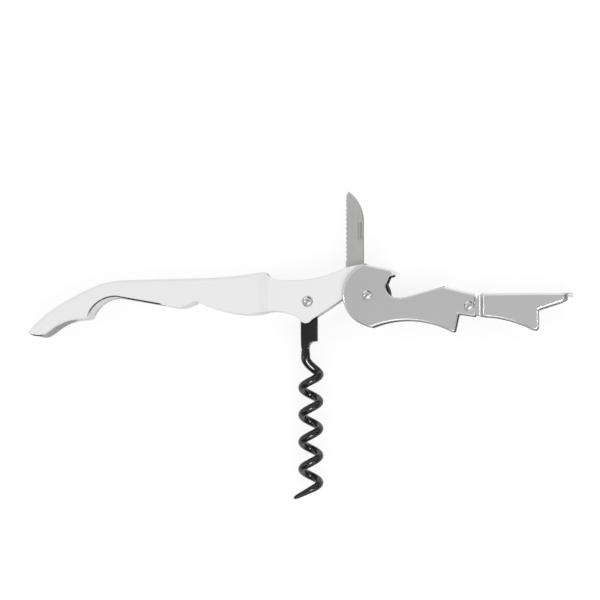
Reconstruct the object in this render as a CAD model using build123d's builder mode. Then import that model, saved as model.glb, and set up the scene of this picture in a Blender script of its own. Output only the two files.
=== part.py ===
"""Folding double-lever corkscrew, lying on its side.

X runs along the handle towards the levers, Y towards the knife, Z up off the table.
Every outline is drawn from the lever pin, in the tool's middle plane, in millimetres.
"""
import os
from math import cos, pi, radians, sin, sqrt

from build123d import *

# Widths, across the tool
HANDLE_WIDTH = 12.8
NECK_WIDTH = 9.2
HANDLE_SHEET = 1.0
LEVER_SHEET = 1.2
SIDE_PLAY = 0.1
SHANK_THICK = 2.2
SHANK_PLAY = 0.2
BLADE_THICK = 1.2
WASHER_PLAY = 0.05
STEP_ROUND = 1.1

# Places of the four pins, from the lever pin, and of the lever pin itself
PIVOT_X = 24.65
PIVOT_Y = 17.11
WORM_PIN_BACK = 21.1
WORM_PIN_DROP = 1.9
KNIFE_PIN_BACK = 4.8
KNIFE_PIN_RISE = 4.6
HINGE_REACH = 35.5
HINGE_DROP = 3.9

# Pins
PIN_RADIUS = 1.25
HEAD_RADIUS = 1.75
HEAD_PROUD = 0.4
HEAD_GAP = 0.05
DISH_RADIUS = 1.0
DISH_DEPTH = 0.22
HEAD_EASE = 0.15
PIN_FIT = 0.05

# Handle
TAIL_REACH = 120.8
TAIL_DROP = 12.3
HUMP_REACH = 86.8
HUMP_RISE = 5.9
BACK_REACH = 58.9
BACK_RISE = 6.45
SPINE_END = 36.2
SPINE_RISE = 8.5
BEND_RADIUS = 1.6
BELLY_REACH = 60.6
BELLY_DROP = 1.7
FINGER_LENGTH = 11.8
FINGER_DROP = 2.1
EAR_DROP = 9.6
EAR_RADIUS = 2.3
NECK_START = 35.0
JOGGLE_LENGTH = 2.8
NECK_EYE = 6.5
FRONT_CORNER_BACK = 1.3
FRONT_CORNER_RISE = 11.0
EYE_RISE = 0.4

# Liners in the neck
LINER_EYE = 7.9
LINER_END = 32.6
LINER_RISE = 4.5
LINER_HEAD = 2.0
LINER_INSET = 1.3

# Knife
BLADE_LENGTH = 32.3
BLADE_WIDTH = 6.4
SPINE_LEAD = 3.2
TIP_SWEEP = 10.5
TOOTH_PITCH = 1.65
TOOTH_DEPTH = 0.35
TOOTH_START = 8.4
NICK_LENGTH = 6.3
NICK_WIDTH = 1.3
NICK_DEPTH = 0.4
NICK_RISE = 18.4
NICK_INSET = 1.4
WASHER_RADIUS = 2.6
EDGE_BEVEL = 0.4

# Worm
WIRE = 2.9
WORM_DIAMETER = 8.9
WORM_PITCH = 9.5
WORM_TURNS = 4.25
WORM_LEAD_IN = 25.7
WORM_POINT = 6.4
WORM_TIP_RADIUS = 0.3
WORM_OFFSET = 0.7
SHANK_BACK = 2.8
SHANK_FRONT = 3.2
SHANK_LENGTH = 14.0
EYE_RADIUS = 2.8
WIRE_START = 16.6
WIRE_BACK = 1.15

# First lever
LEVER_RISE = 11.1
WEB_GAP = 0.8
LIP_REACH = 10.5
LIP_FALL = 3.3
LIP_CURL = 1.8
LIP_SLOPE = 0.233
LIP_CROWN = 2.2
LIP_OVERHANG = 1.0
NOTCH_REACH = 6.6
NOTCH_RISE = 4.0
NOTCH_LENGTH = 7.8
NOTCH_DROP = 0.4
LEVER_HEAD_BACK = 8.6
LEVER_FOOT_REACH = 1.6
LEVER_FOOT_DROP = 11.1
LEVER_BEND = 1.1
WAIST_DROP = 8.8
PEAK_BACK = 8.7
PEAK_RISE = 6.9
END_REACH = 2.1
END_RISE = 4.35
END_DROP = 3.6
END_EASE = 0.3
TOOTH_BACK = 5.1
TOOTH_DROP = 12.9
TOOTH_WIDTH = 1.5
RIM_SLANT = 1.35
RIM_DROP = 2.7

# Second lever, from its hinge
BODY_START = 3.8
LEVER_STEP = 1.4
BODY_REACH = 36.0
BODY_RISE = 4.4
BODY_DROP = 3.65
NOSE_LENGTH = 3.6
NOSE_DROP = 1.4
PRONG_LENGTH = 12.0
PRONG_DROP = 1.4
PRONG_RISE = 1.2
LINK_TOOTH_DROP = 8.5
LINK_WAIST_DROP = 5.0
TONGUE_RADIUS = 2.6
TONGUE_RISE = 3.6
TONGUE_GAP = 0.85
SLEEVE_RADIUS = 2.2

# What follows from them
lever_gap = NECK_WIDTH + 2 * SIDE_PLAY
lever_width = lever_gap + 2 * LEVER_SHEET
neck_gap = NECK_WIDTH - 2 * HANDLE_SHEET
liner_gap = SHANK_THICK + 2 * SHANK_PLAY
liner_thick = (neck_gap - liner_gap) / 2
washer_thick = (liner_gap - BLADE_THICK) / 2 - 2 * WASHER_PLAY
tongue_width = lever_gap - 2 * SIDE_PLAY
tongue_gap = tongue_width - 2 * LEVER_SHEET
hole_radius = PIN_RADIUS + PIN_FIT
reach_past = TAIL_REACH + HINGE_REACH + BODY_REACH

side = Plane((PIVOT_X, PIVOT_Y, HANDLE_WIDTH / 2))
plan = Plane(side.origin, x_dir=(1, 0, 0), z_dir=(0, -1, 0))
lever_pin_at = (0, 0)
worm_pin_at = (-WORM_PIN_BACK, -WORM_PIN_DROP)
knife_pin_at = (-KNIFE_PIN_BACK, KNIFE_PIN_RISE)
hinge_pin_at = (HINGE_REACH, -HINGE_DROP)


def edges_above(part, line, width):
    """The part's long edges that lie over a drawn line, one on each flat side."""
    found = []
    for drawn in line.edges():
        middle = drawn @ 0.5
        for z in (-width / 2, width / 2):
            found.append(part.edges().sort_by_distance(side.from_local_coords((middle.X, middle.Y, z)))[0])
    return found


def stepped_plan(width_left, width_right, step_start, step_length):
    """A plan outline, drawn well clear of the tool, whose width changes in one rounded step."""
    step_end = step_start + step_length
    half_left, half_right = width_left / 2, width_right / 2
    with BuildSketch(plan.offset(-reach_past)) as outline:
        with BuildLine():
            Polyline(
                (-reach_past, half_left), (step_start, half_left),
                (step_end, half_right), (reach_past, half_right),
                (reach_past, -half_right), (step_end, -half_right),
                (step_start, -half_left), (-reach_past, -half_left),
                close=True,
            )
        make_face()
        fillet(outline.vertices().sort_by(Axis.X)[2:6], STEP_ROUND)
    return outline.sketch


def inset_point(edge, share, depth):
    """A point of a drawn edge, moved square to it towards its right-hand side."""
    along = edge % share
    return edge @ share + Vector(along.Y, -along.X) * depth


def pin_plane(at):
    """An upright plane through a pin's axis, with its height measured from the middle plane."""
    return Plane(side.from_local_coords((at[0], at[1], 0)), x_dir=(1, 0, 0), z_dir=(0, -1, 0))


def dished_pin(at, shoulder, top):
    """A pin with a spun head at each end: a raised ring round a shallow dish."""
    upright = pin_plane(at)
    with BuildPart() as pin:
        with BuildSketch(upright):
            with BuildLine():
                Polyline((0, top - DISH_DEPTH), (0, 0), (PIN_RADIUS, 0), (PIN_RADIUS, shoulder),
                         (HEAD_RADIUS, shoulder), (HEAD_RADIUS, top - HEAD_EASE),
                         (HEAD_RADIUS - HEAD_EASE, top),
                         (DISH_RADIUS, top))
                TangentArc((0, top - DISH_DEPTH), (DISH_RADIUS, top), tangent=(1, 0))
            make_face()
        revolve(axis=Axis(upright.origin, (0, 0, 1)))
        mirror(about=Plane(upright.origin))
    return pin


def rounded_end(tip, crown, low, high):
    """What a lever's end loses, seen in plan, to be rounded from cheek to cheek."""
    edge, past = lever_width / 2, lever_width
    with BuildPart() as waste:
        with BuildSketch(plan.offset(-high)):
            with BuildLine():
                ThreePointArc((tip - crown, edge), (tip, 0), (tip - crown, -edge))
                Polyline((tip - crown, -edge), (tip - crown, -past),
                         (tip + crown, -past), (tip + crown, past),
                         (tip - crown, past), (tip - crown, edge))
            make_face()
        extrude(amount=high - low)
    return waste.part


def ring(at, inner, outer, low, high):
    """A plain washer or sleeve round a pin, between two heights from the middle plane."""
    with BuildPart() as turned:
        with BuildSketch(side.offset(low)):
            with Locations(at):
                Circle(outer)
                Circle(inner, mode=Mode.SUBTRACT)
        extrude(amount=high - low)
    return turned


# Handle shell: one folded sheet, closed along the spine, open below, stepped in at the neck
def tail_point(along, up):
    """A point of the tail, in shares of the way from its tip to the hump."""
    return (-TAIL_REACH + along * (TAIL_REACH - HUMP_REACH), -TAIL_DROP + up * (TAIL_DROP + HUMP_RISE))


def finger_point(along, down):
    """A point of the hollow for a finger, in shares of its length and depth."""
    return (-BELLY_REACH - along * FINGER_LENGTH, -BELLY_DROP - down * FINGER_DROP)


def belly_point(along, down):
    """A point of the lower edge, in shares of the way from the belly's notch to the ear of the worm."""
    return (-BELLY_REACH + along * (BELLY_REACH - WORM_PIN_BACK), -down * EAR_DROP)


def neck_point(along, up):
    """A point of the neck's upper edge, in shares of its length and of its front corner's height."""
    return (-SPINE_END + along * (SPINE_END - FRONT_CORNER_BACK), up * FRONT_CORNER_RISE)


tail_tip = tail_point(0, 0)
tail_foot = tail_point(0.045, -0.06)
tail_heel = tail_point(0.635, 0.275)
finger_end = tail_point(0.938, 0.676)
spine_end = (-SPINE_END, SPINE_RISE)
hump_end = (-HUMP_REACH, HUMP_RISE)
back_end = (-BACK_REACH, BACK_RISE)
belly_notch = finger_point(0, 0)
ear_back = (-WORM_PIN_BACK - EAR_RADIUS - 0.6, -EAR_DROP + 1.7)
ear_front = (-WORM_PIN_BACK + EAR_RADIUS - 0.9, -EAR_DROP + 1.2)
front_corner = (-FRONT_CORNER_BACK, FRONT_CORNER_RISE)
eye_top = (-FRONT_CORNER_BACK, sqrt(NECK_EYE**2 - FRONT_CORNER_BACK**2))
eye_back = (-sqrt(NECK_EYE**2 - EYE_RISE**2), EYE_RISE)
eye_foot = (NECK_EYE * cos(radians(-40)), NECK_EYE * sin(radians(-40)))

with BuildLine() as spine:
    hump = Spline(tail_tip, tail_point(0.25, 0.43), tail_point(0.655, 0.846), hump_end,
                  tangents=((0.62, 0.78), (1, 0.02)))
    back = Line(hump_end, back_end)
    rise = TangentArc(back_end, spine_end, tangent=back % 1)

with BuildLine() as spine_inner:
    hump_inner = Spline([inset_point(hump, step / 6, HANDLE_SHEET) for step in range(7)],
                        tangents=(hump % 0, hump % 1))
    back_inner = Line(hump_inner @ 1, inset_point(back, 1, HANDLE_SHEET))
    rise_inner = ThreePointArc(back_inner @ 1, inset_point(rise, 0.5, HANDLE_SHEET),
                               inset_point(rise, 1, HANDLE_SHEET))
    tail_way_out = hump_inner @ 0 + (hump_inner @ 0 - Vector(tail_tip)) * 3
    Polyline(rise_inner @ 1, (-SPINE_END, reach_past), (reach_past, reach_past), (reach_past, -reach_past),
             (tail_way_out.X, -reach_past), tail_way_out, hump_inner @ 0)

with BuildLine() as handle_outline:
    add(spine.line)
    dip_start = (-SPINE_END + 0.7 * HANDLE_SHEET, SPINE_RISE - HANDLE_SHEET)
    Line(spine_end, dip_start)
    Spline(dip_start, neck_point(0.292, 0.5), neck_point(0.673, 0.709), front_corner,
           tangents=((1, -0.75), (1, 0.1)))
    Line(front_corner, eye_top)
    ThreePointArc(eye_top, eye_foot, eye_back)
    Line(eye_back, ear_front)
    ThreePointArc(ear_front, (-WORM_PIN_BACK - 0.8, -EAR_DROP), ear_back)
    Spline(ear_back, belly_point(0.81, 0.625), belly_point(0.694, 0.552), belly_point(0.53, 0.656),
           belly_point(0.37, 0.646), belly_point(0.187, 0.49), belly_notch)
    Spline(belly_notch, finger_point(0.424, 1), finger_point(0.73, 0.98), finger_point(1, 0.6),
           tangents=((-1, -0.55), (-1, 0.19)))
    Line(finger_point(1, 0.6), finger_end)
    ThreePointArc(finger_end, tail_point(0.747, 0.566), tail_heel)
    Spline(tail_heel, tail_point(0.52, 0.242), tail_point(0.282, 0.077), tail_point(0.153, -0.075), tail_foot,
           tangents=((-1, -0.6), (-1, 0.25)))
    Line(tail_foot, tail_tip)

step_start = -NECK_START - JOGGLE_LENGTH
with BuildPart() as channel:
    inner_plan = stepped_plan(HANDLE_WIDTH - 2 * HANDLE_SHEET, neck_gap,
                              step_start - 0.4 * HANDLE_SHEET, JOGGLE_LENGTH)
    extrude(inner_plan, amount=2 * reach_past, dir=plan.z_dir)
    with BuildSketch(side):
        with BuildLine():
            add(spine_inner.line)
        make_face()
    extrude(amount=HANDLE_WIDTH, both=True, mode=Mode.INTERSECT)

with BuildPart() as handle_shell:
    with BuildSketch(side):
        with BuildLine():
            add(handle_outline.line)
        make_face()
    extrude(amount=HANDLE_WIDTH / 2, both=True)
    fillet(edges_above(handle_shell, spine.line, HANDLE_WIDTH), BEND_RADIUS)
    outer_plan = stepped_plan(HANDLE_WIDTH, NECK_WIDTH, step_start, JOGGLE_LENGTH)
    extrude(outer_plan, amount=2 * reach_past, dir=plan.z_dir, mode=Mode.INTERSECT)
    add(channel.part, mode=Mode.SUBTRACT)
    with BuildSketch(side):
        with Locations(worm_pin_at):
            Circle(HEAD_RADIUS + PIN_FIT)
        with Locations(lever_pin_at, knife_pin_at):
            Circle(hole_radius)
    extrude(amount=HANDLE_WIDTH, both=True, mode=Mode.SUBTRACT)

# Liners: a moulded plate against each cheek of the neck, which centres the worm and the knife
with BuildSketch(side) as liner_outline:
    with BuildLine():
        head_half = sqrt(LINER_EYE**2 - LINER_HEAD**2)
        head_back = (eye_back[0] - LINER_INSET / 2, eye_back[1] + LINER_INSET)
        ear_low = (-WORM_PIN_BACK - 0.8, -EAR_DROP + LINER_INSET)
        liner_back = (-LINER_END, belly_point(0.694, 0.552)[1] + LINER_INSET)
        Line((-LINER_END, LINER_RISE), (neck_point(0.292, 0)[0], LINER_RISE))
        Spline((neck_point(0.292, 0)[0], LINER_RISE),
               (neck_point(0.673, 0)[0], neck_point(0, 0.709)[1] - LINER_INSET),
               (-LINER_HEAD, FRONT_CORNER_RISE - LINER_INSET), tangents=((1, 0), (1, 0.1)))
        Line((-LINER_HEAD, FRONT_CORNER_RISE - LINER_INSET), (-LINER_HEAD, head_half))
        ThreePointArc((-LINER_HEAD, head_half), (LINER_EYE, 0), (-LINER_HEAD, -head_half))
        Line((-LINER_HEAD, -head_half), head_back)
        Line(head_back, (ear_front[0] - LINER_INSET / 3, ear_front[1] + LINER_INSET / 2))
        ThreePointArc((ear_front[0] - LINER_INSET / 3, ear_front[1] + LINER_INSET / 2), ear_low,
                      (ear_back[0] + LINER_INSET / 3, ear_back[1] + LINER_INSET / 2))
        Spline((ear_back[0] + LINER_INSET / 3, ear_back[1] + LINER_INSET / 2), liner_back,
               tangents=((-1, 0.7), (-1, 0)))
        Line(liner_back, (-LINER_END, LINER_RISE))
    make_face()
    with Locations(worm_pin_at, lever_pin_at, knife_pin_at):
        Circle(hole_radius, mode=Mode.SUBTRACT)

liners = {}
for name, z in (("front_liner", liner_gap / 2), ("back_liner", -liner_gap / 2 - liner_thick)):
    with BuildPart() as liners[name]:
        extrude(liner_outline.sketch.moved(Location((0, 0, z))), amount=liner_thick, dir=(0, 0, 1))

# Knife: a serrated foil blade that folds down into the open back of the neck
blade_back = -KNIFE_PIN_BACK + SPINE_LEAD
blade_edge = blade_back - BLADE_WIDTH
blade_tip = (blade_edge + 1.1, KNIFE_PIN_RISE + BLADE_LENGTH)
sweep_start = (blade_back, KNIFE_PIN_RISE + BLADE_LENGTH - TIP_SWEEP)
tooth_radius = (TOOTH_PITCH**2 / 4 + TOOTH_DEPTH**2) / (2 * TOOTH_DEPTH)
tooth_count = int((BLADE_LENGTH - TOOTH_START) / TOOTH_PITCH)
with BuildPart() as knife_blade:
    with BuildSketch(side):
        with BuildLine():
            Line((blade_back, KNIFE_PIN_RISE), sweep_start)
            TangentArc(sweep_start, blade_tip, tangent=(0, 1))
            Line(blade_tip, (blade_edge, KNIFE_PIN_RISE + BLADE_LENGTH - 2))
            Line((blade_edge, KNIFE_PIN_RISE + BLADE_LENGTH - 2), (blade_edge, KNIFE_PIN_RISE))
            ThreePointArc((blade_edge, KNIFE_PIN_RISE), (-KNIFE_PIN_BACK, KNIFE_PIN_RISE - SPINE_LEAD),
                          (blade_back, KNIFE_PIN_RISE))
        make_face()
    extrude(amount=BLADE_THICK / 2, both=True)
    chamfer(knife_blade.edges().filter_by(Axis.Y).group_by(Axis.X)[0], length=EDGE_BEVEL)
    with BuildSketch(side):
        for tooth in range(tooth_count):
            with Locations((blade_edge + TOOTH_DEPTH - tooth_radius,
                            KNIFE_PIN_RISE + TOOTH_START + tooth * TOOTH_PITCH)):
                Circle(tooth_radius)
        with Locations(knife_pin_at):
            Circle(hole_radius)
    extrude(amount=BLADE_THICK, both=True, mode=Mode.SUBTRACT)
    with BuildSketch(side.offset(BLADE_THICK / 2)):
        with Locations((blade_back - NICK_INSET, KNIFE_PIN_RISE + NICK_RISE)):
            SlotOverall(NICK_LENGTH, NICK_WIDTH, rotation=90)
    extrude(amount=-NICK_DEPTH, mode=Mode.SUBTRACT)

# Worm: a round wire wound to the right, flattened into a shank with an eye for its pin
worm_axis = -WORM_PIN_BACK + WORM_OFFSET
worm_radius = (WORM_DIAMETER - WIRE) / 2
wire_x = -WORM_PIN_BACK - WIRE_BACK
shank_left = -WORM_PIN_BACK - SHANK_BACK
shank_right = -WORM_PIN_BACK + SHANK_FRONT
shank_foot = -WORM_PIN_DROP - SHANK_LENGTH
wire_top = -WORM_PIN_DROP - WIRE_START


def worm_point(turn):
    """A place on the worm's winding, counted in turns from its first bulge to the front."""
    angle = 2 * pi * turn
    height = -WORM_PIN_DROP - WORM_LEAD_IN - WORM_PITCH * turn
    return side.from_local_coords((worm_axis + worm_radius * cos(angle), height, worm_radius * sin(angle)))


def worm_heading(turn):
    """The direction of the wire there."""
    angle = 2 * pi * turn
    return Vector(-worm_radius * sin(angle), -WORM_PITCH / (2 * pi), worm_radius * cos(angle)).normalized()


def biarc(start, start_heading, end, end_heading):
    """Two arcs that leave one point and meet the other in the given directions."""
    span = end - start
    headings = start_heading + end_heading
    bend = 2 * (1 - start_heading.dot(end_heading))
    reach = (sqrt(span.dot(headings) ** 2 + bend * span.dot(span)) - span.dot(headings)) / bend
    first_corner = start + start_heading * reach
    last_corner = end - end_heading * reach
    middle = (first_corner + last_corner) * 0.5
    TangentArc(start, middle, tangent=start_heading)
    TangentArc(middle, end, tangent=last_corner - first_corner)


with BuildLine() as winding:
    quarters = int(WORM_TURNS * 4)
    wire_start = side.from_local_coords((wire_x, wire_top + WIRE, 0))
    wire_bend = side.from_local_coords((wire_x, wire_top - WIRE, 0))
    Line(wire_start, wire_bend)
    biarc(wire_bend, Vector(0, -1, 0), worm_point(0), worm_heading(0))
    for quarter in range(quarters):
        turn, next_turn = quarter / 4, (quarter + 1) / 4
        biarc(worm_point(turn), worm_heading(turn), worm_point(next_turn), worm_heading(next_turn))

with BuildPart() as worm:
    with BuildSketch(Plane(wire_start, z_dir=(0, -1, 0))):
        Circle(WIRE / 2)
    sweep(path=winding.line)
    point_start = worm_point(WORM_TURNS)
    point_heading = worm_heading(WORM_TURNS)
    with BuildSketch(Plane(point_start, z_dir=point_heading)):
        Circle(WIRE / 2)
    with BuildSketch(Plane(point_start + point_heading * WORM_POINT, z_dir=point_heading)):
        Circle(WORM_TIP_RADIUS)
    loft()
    with BuildSketch(side):
        with BuildLine():
            Line((wire_x - WIRE / 2, wire_top), (shank_left, shank_foot))
            Line((shank_left, shank_foot), (shank_left, -WORM_PIN_DROP))
            ThreePointArc((shank_left, -WORM_PIN_DROP), (-WORM_PIN_BACK, -WORM_PIN_DROP + EYE_RADIUS),
                          (shank_right, -WORM_PIN_DROP - 1))
            Line((shank_right, -WORM_PIN_DROP - 1), (shank_right, shank_foot))
            Line((shank_right, shank_foot), (shank_right - 0.8, shank_foot))
            TangentArc((shank_right - 0.8, shank_foot), (wire_x + WIRE / 2, wire_top), tangent=(-1, 0))
            Line((wire_x + WIRE / 2, wire_top), (wire_x - WIRE / 2, wire_top))
        make_face()
    extrude(amount=SHANK_THICK / 2, both=True)
    with BuildSketch(side):
        with Locations(worm_pin_at):
            Circle(hole_radius)
    extrude(amount=SHANK_THICK, both=True, mode=Mode.SUBTRACT)

# First lever: a folded channel with the crown-cap lip, the opener notch and the first rim tooth
hinge_x, hinge_y = hinge_pin_at
lever_end = hinge_x + END_REACH
web_start = (-FRONT_CORNER_BACK + WEB_GAP, LEVER_RISE)
lip_bend = (LIP_REACH - LIP_CURL, LEVER_RISE - LIP_SLOPE * (LIP_REACH - LIP_CURL - web_start[0]))
lip_tip = (LIP_REACH, LEVER_RISE - LIP_FALL)
cheek_corner = (LIP_REACH - LIP_CURL - LIP_OVERHANG, lip_tip[1] - LEVER_SHEET)
peak = (hinge_x - PEAK_BACK, hinge_y + PEAK_RISE)
web_end = (lever_end - END_EASE, hinge_y + END_RISE)
tooth_tip = (hinge_x - TOOTH_BACK, -TOOTH_DROP)
tooth_heel = (tooth_tip[0] - TOOTH_WIDTH, tooth_tip[1] + END_EASE)
rim_corner = (tooth_tip[0] + RIM_SLANT, hinge_y - RIM_DROP)
lever_foot = (LEVER_FOOT_REACH, -LEVER_FOOT_DROP)
waist = ((tooth_heel[0] + lever_foot[0]) / 2, -WAIST_DROP)
notch_end = (NOTCH_REACH + NOTCH_LENGTH, -NOTCH_DROP)
with BuildLine() as lip_top:
    lip_web = Line(web_start, lip_bend)
    lip_curl = TangentArc(lip_bend, lip_tip, tangent=lip_web % 1)
with BuildLine() as end_top:
    end_web = Line(peak, web_end)

with BuildPart() as lever_channel:
    with BuildSketch(side):
        with BuildLine():
            lip_inner = Line(inset_point(lip_web, 0, LEVER_SHEET), inset_point(lip_web, 1, LEVER_SHEET))
            curl_inner = ThreePointArc(lip_inner @ 1, inset_point(lip_curl, 0.5, LEVER_SHEET),
                                       inset_point(lip_curl, 1, LEVER_SHEET))
            end_inner = Line(inset_point(end_web, 0, LEVER_SHEET),
                             inset_point(end_web, 1, LEVER_SHEET) + (end_web % 1) * 20)
            past_lip = LIP_REACH + LEVER_SHEET
            Polyline(curl_inner @ 1, (past_lip, cheek_corner[1]), (past_lip, reach_past),
                     ((end_inner @ 0).X, reach_past), end_inner @ 0)
            Polyline(end_inner @ 1, (reach_past, -reach_past),
                     (-reach_past, -reach_past), (-reach_past, reach_past),
                     ((lip_inner @ 0).X, reach_past), lip_inner @ 0)
        make_face()
    extrude(amount=lever_gap / 2, both=True)

with BuildPart() as first_lever:
    with BuildSketch(side) as lever_side:
        with BuildLine():
            add(lip_top.line)
            Line(lip_tip, inset_point(lip_curl, 1, LEVER_SHEET))
            Line(inset_point(lip_curl, 1, LEVER_SHEET), cheek_corner)
            Line(cheek_corner, (NOTCH_REACH, NOTCH_RISE))
            Spline((NOTCH_REACH, NOTCH_RISE), (NOTCH_REACH + 0.04 * NOTCH_LENGTH, 0.4 * NOTCH_RISE),
                   (NOTCH_REACH + 0.25 * NOTCH_LENGTH, -0.75 * NOTCH_DROP),
                   (NOTCH_REACH + 0.62 * NOTCH_LENGTH, -2.6 * NOTCH_DROP), notch_end,
                   tangents=((-0.3, -1), (1, 0.274)))
            Line(notch_end, peak)
            add(end_top.line)
            Polyline(web_end, (lever_end, web_end[1] - LEVER_SHEET),
                     (lever_end, hinge_y - END_DROP), rim_corner,
                     tooth_tip, tooth_heel)
            ThreePointArc(tooth_heel, waist, lever_foot)
            ThreePointArc(lever_foot, (-LEVER_HEAD_BACK, 0), web_start)
        make_face()
    extrude(amount=lever_width / 2, both=True)
    fillet(edges_above(first_lever, lip_top.line, lever_width), LEVER_BEND)
    fillet(edges_above(first_lever, end_top.line, lever_width), LEVER_BEND)
    add(lever_channel.part, mode=Mode.SUBTRACT)
    add(rounded_end(LIP_REACH, LIP_CROWN, cheek_corner[1] - LEVER_SHEET, reach_past), mode=Mode.SUBTRACT)
    with BuildSketch(side):
        with Locations(lever_pin_at, hinge_pin_at):
            Circle(hole_radius)
    extrude(amount=lever_width, both=True, mode=Mode.SUBTRACT)

# Second lever: the far link, hinged inside the first, with its own rim tooth and a rounded nose
body_start = hinge_x + BODY_START
body_top = (body_start + LEVER_STEP / 2, hinge_y + BODY_RISE)
nose_top = (hinge_x + BODY_REACH, hinge_y + BODY_RISE)
nose_foot = (nose_top[0], nose_top[1] - NOSE_DROP)
prong_root = (nose_top[0] - PRONG_LENGTH, hinge_y - PRONG_DROP)
prong_middle = (nose_top[0] - PRONG_LENGTH / 3, hinge_y + PRONG_RISE)
link_tooth = (prong_root[0] - TOOTH_WIDTH / 2, hinge_y - LINK_TOOTH_DROP)
link_heel = (link_tooth[0] - TOOTH_WIDTH, link_tooth[1] + END_EASE)
link_foot = (body_start + LEVER_STEP, hinge_y - BODY_DROP)
link_waist = ((link_heel[0] + link_foot[0]) / 2, hinge_y - LINK_WAIST_DROP)
tongue_step = lever_end + TONGUE_GAP
with BuildLine() as body_back:
    body_web = Line(body_top, nose_top)

with BuildPart() as body_channel:
    with BuildSketch(side):
        with BuildLine():
            Polyline((-reach_past, body_top[1] - LEVER_SHEET), (reach_past, body_top[1] - LEVER_SHEET),
                     (reach_past, -reach_past), (-reach_past, -reach_past), close=True)
        make_face()
    extrude(amount=lever_gap / 2, both=True)
    hollow_plan = stepped_plan(tongue_gap, lever_gap, body_start - 0.4 * LEVER_SHEET, LEVER_STEP)
    extrude(hollow_plan, amount=2 * reach_past, dir=plan.z_dir, mode=Mode.INTERSECT)

with BuildPart() as second_lever:
    with BuildSketch(side):
        with BuildLine():
            add(body_back.line)
            Polyline(nose_top, nose_foot, prong_middle, prong_root,
                     (prong_root[0], link_tooth[1] + TOOTH_WIDTH / 2),
                     link_tooth, link_heel)
            ThreePointArc(link_heel, link_waist, link_foot)
            Polyline(link_foot, (hinge_x, hinge_y - TONGUE_RADIUS))
            ThreePointArc((hinge_x, hinge_y - TONGUE_RADIUS), (hinge_x - TONGUE_RADIUS, hinge_y),
                          (hinge_x, hinge_y + TONGUE_RADIUS))
            Polyline((hinge_x, hinge_y + TONGUE_RADIUS), (tongue_step, hinge_y + TONGUE_RADIUS),
                     (tongue_step, hinge_y + TONGUE_RISE), (body_start, hinge_y + TONGUE_RISE), body_top)
        make_face()
    extrude(amount=lever_width / 2, both=True)
    fillet(edges_above(second_lever, body_back.line, lever_width), LEVER_BEND)
    with BuildSketch(plan.offset(-reach_past)) as pockets:
        with BuildLine():
            step_high = lever_width / 2 + LEVER_SHEET
            step_over = body_start + LEVER_STEP + LEVER_SHEET
            FilletPolyline((0, tongue_width / 2), (body_start, tongue_width / 2), (step_over, step_high),
                           radius=STEP_ROUND)
            Polyline((step_over, step_high), (0, step_high), (0, tongue_width / 2))
        make_face()
        mirror(about=Plane.XZ)
    extrude(pockets.sketch, amount=2 * reach_past, dir=plan.z_dir, mode=Mode.SUBTRACT)
    add(body_channel.part, mode=Mode.SUBTRACT)
    add(rounded_end(nose_top[0], NOSE_LENGTH, -reach_past, reach_past), mode=Mode.SUBTRACT)
    with BuildSketch(side):
        with Locations(hinge_pin_at):
            Circle(hole_radius)
    extrude(amount=lever_width, both=True, mode=Mode.SUBTRACT)

# Pins, washers and the hinge sleeve
worm_pin = dished_pin(worm_pin_at, neck_gap / 2, NECK_WIDTH / 2)
lever_pin = dished_pin(lever_pin_at, lever_width / 2 + HEAD_GAP, lever_width / 2 + HEAD_PROUD)
hinge_pin = dished_pin(hinge_pin_at, lever_width / 2, lever_width / 2 + HEAD_PROUD)
with BuildPart() as knife_pin:
    with BuildSketch(side):
        with Locations(knife_pin_at):
            Circle(PIN_RADIUS)
    extrude(amount=NECK_WIDTH / 2, both=True)
washer_low = BLADE_THICK / 2 + WASHER_PLAY
front_washer = ring(knife_pin_at, hole_radius, WASHER_RADIUS, washer_low, washer_low + washer_thick)
back_washer = ring(knife_pin_at, hole_radius, WASHER_RADIUS, -washer_low - washer_thick, -washer_low)
hinge_sleeve = ring(hinge_pin_at, hole_radius, SLEEVE_RADIUS,
                    -tongue_gap / 2 + WASHER_PLAY, tongue_gap / 2 - WASHER_PLAY)

pieces = {
    "handle_shell": handle_shell,
    "front_liner": liners["front_liner"],
    "back_liner": liners["back_liner"],
    "knife_blade": knife_blade,
    "knife_pin": knife_pin,
    "front_knife_washer": front_washer,
    "back_knife_washer": back_washer,
    "worm": worm,
    "worm_pin": worm_pin,
    "first_lever": first_lever,
    "lever_pin": lever_pin,
    "second_lever": second_lever,
    "hinge_pin": hinge_pin,
    "hinge_sleeve": hinge_sleeve,
}
os.makedirs("parts", exist_ok=True)
for name, piece in pieces.items():
    piece.part.label = name
    export_step(piece.part, f"parts/{name}.step")
    print(name, round(piece.part.volume, 1))
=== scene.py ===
# %% [markdown]
# # A waiter's corkscrew with a jointed bottle lever
# The tool lies on its side on a white table: a white folded handle, a black worm, a foil knife,
# and two steel levers that step on a bottle's rim one after the other.
# The solids were drawn elsewhere and are loaded as a fixed frame. This lesson dresses them:
# it rounds the edges of the folded sheets, winds the worm, sets the rivets and mixes the finishes.
# Blender counts in metres, so a size that a maker gives in millimetres is multiplied by MM.
# MIDDLE is the height of the plane through the middle of the tool as it lies.

# %% Load the frame
import math

import bmesh
import bpy
from mathutils import Matrix, Vector
from mathutils.bvhtree import BVHTree


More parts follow.
